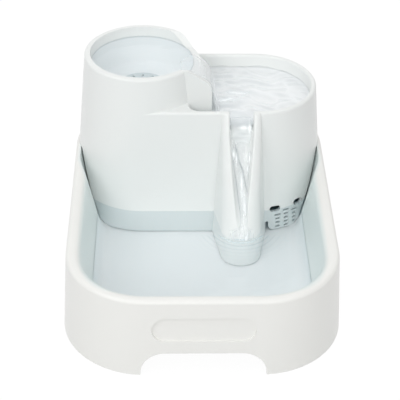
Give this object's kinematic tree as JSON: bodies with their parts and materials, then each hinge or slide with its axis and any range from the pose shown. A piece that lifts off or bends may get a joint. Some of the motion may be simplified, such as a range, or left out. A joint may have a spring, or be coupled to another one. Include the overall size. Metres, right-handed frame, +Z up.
{
  "type": "pet water fountain",
  "caption": "Two-tier pet water fountain: wide footed drinking bowl with a lift-off tower whose round cup overflows by a lip into a tray and down a chute, fed by a hidden pump.",
  "frame": {"origin": "on the ground under the middle of the bowl", "axes": "+X to the viewer's right, +Y from the drinking side to the tower at the back, +Z up"},
  "size_m": [0.2284, 0.302, 0.1595],
  "materials": {
    "pale_plastic": "satin moulded",
    "black_plastic": "fine moulded",
    "grey_plastic": "fine moulded",
    "smoke_plastic": "translucent satin",
    "white_plastic": "fine moulded",
    "silicone": "translucent satin",
    "black_rubber": "matt",
    "ceramic": "ground",
    "ferrite": "sintered",
    "electrical_steel": "laminated",
    "copper_wire": "enamelled",
    "resin": "poured",
    "sponge": "open-cell",
    "carbon_felt": "fibre bag",
    "foam": "open-cell"
  },
  "bodies": {
    "bowl": {"bowl": "pale_plastic", "pump_housing": "black_plastic", "volute_cover": "black_plastic", "volute_seal": "black_rubber", "impeller_shaft": "ceramic", "rear_bush": "black_rubber", "front_bush": "black_rubber", "stator_core": "electrical_steel", "stator_coil": "copper_wire", "potting_block": "resin", "cable_gland": "black_rubber", "suction_feet": "black_rubber", "filter_rack": "white_plastic"},
    "tower": {"tower": "pale_plastic", "chute": "pale_plastic", "outlet_disc": "smoke_plastic", "riser_tube": "silicone"},
    "impeller": {"impeller": "white_plastic", "rotor_magnet": "ferrite"},
    "intake_cover": {"intake_cover": "black_plastic", "intake_sponge": "sponge"},
    "flow_dial": {"flow_dial": "grey_plastic"},
    "filter": {"cartridge_frame": "white_plastic", "cartridge_cover": "white_plastic", "carbon_bed": "carbon_felt", "foam_pad": "foam"}
  },
  "joints": [
    {"name": "tower_lift", "type": "slide", "parent": "bowl", "child": "tower", "axis": [0, 0, 1], "range_m": [0, 0.1]},
    {"name": "filter_lift", "type": "slide", "parent": "bowl", "child": "filter", "axis": [0, 0, 1], "range_m": [0, 0.037]},
    {"name": "impeller_spin", "type": "hinge", "parent": "bowl", "child": "impeller", "pos_m": [-0.0561, 0.0871, 0.041], "axis": [1, 0, 0], "continuous": true},
    {"name": "intake_cover_pull", "type": "slide", "parent": "bowl", "child": "intake_cover", "axis": [1, 0, 0], "range_m": [0, 0.024]},
    {"name": "flow_dial_turn", "type": "hinge", "parent": "intake_cover", "child": "flow_dial", "pos_m": [-0.0245, 0.0871, 0.041], "axis": [1, 0, 0], "range_deg": [0, 60]}
  ]
}
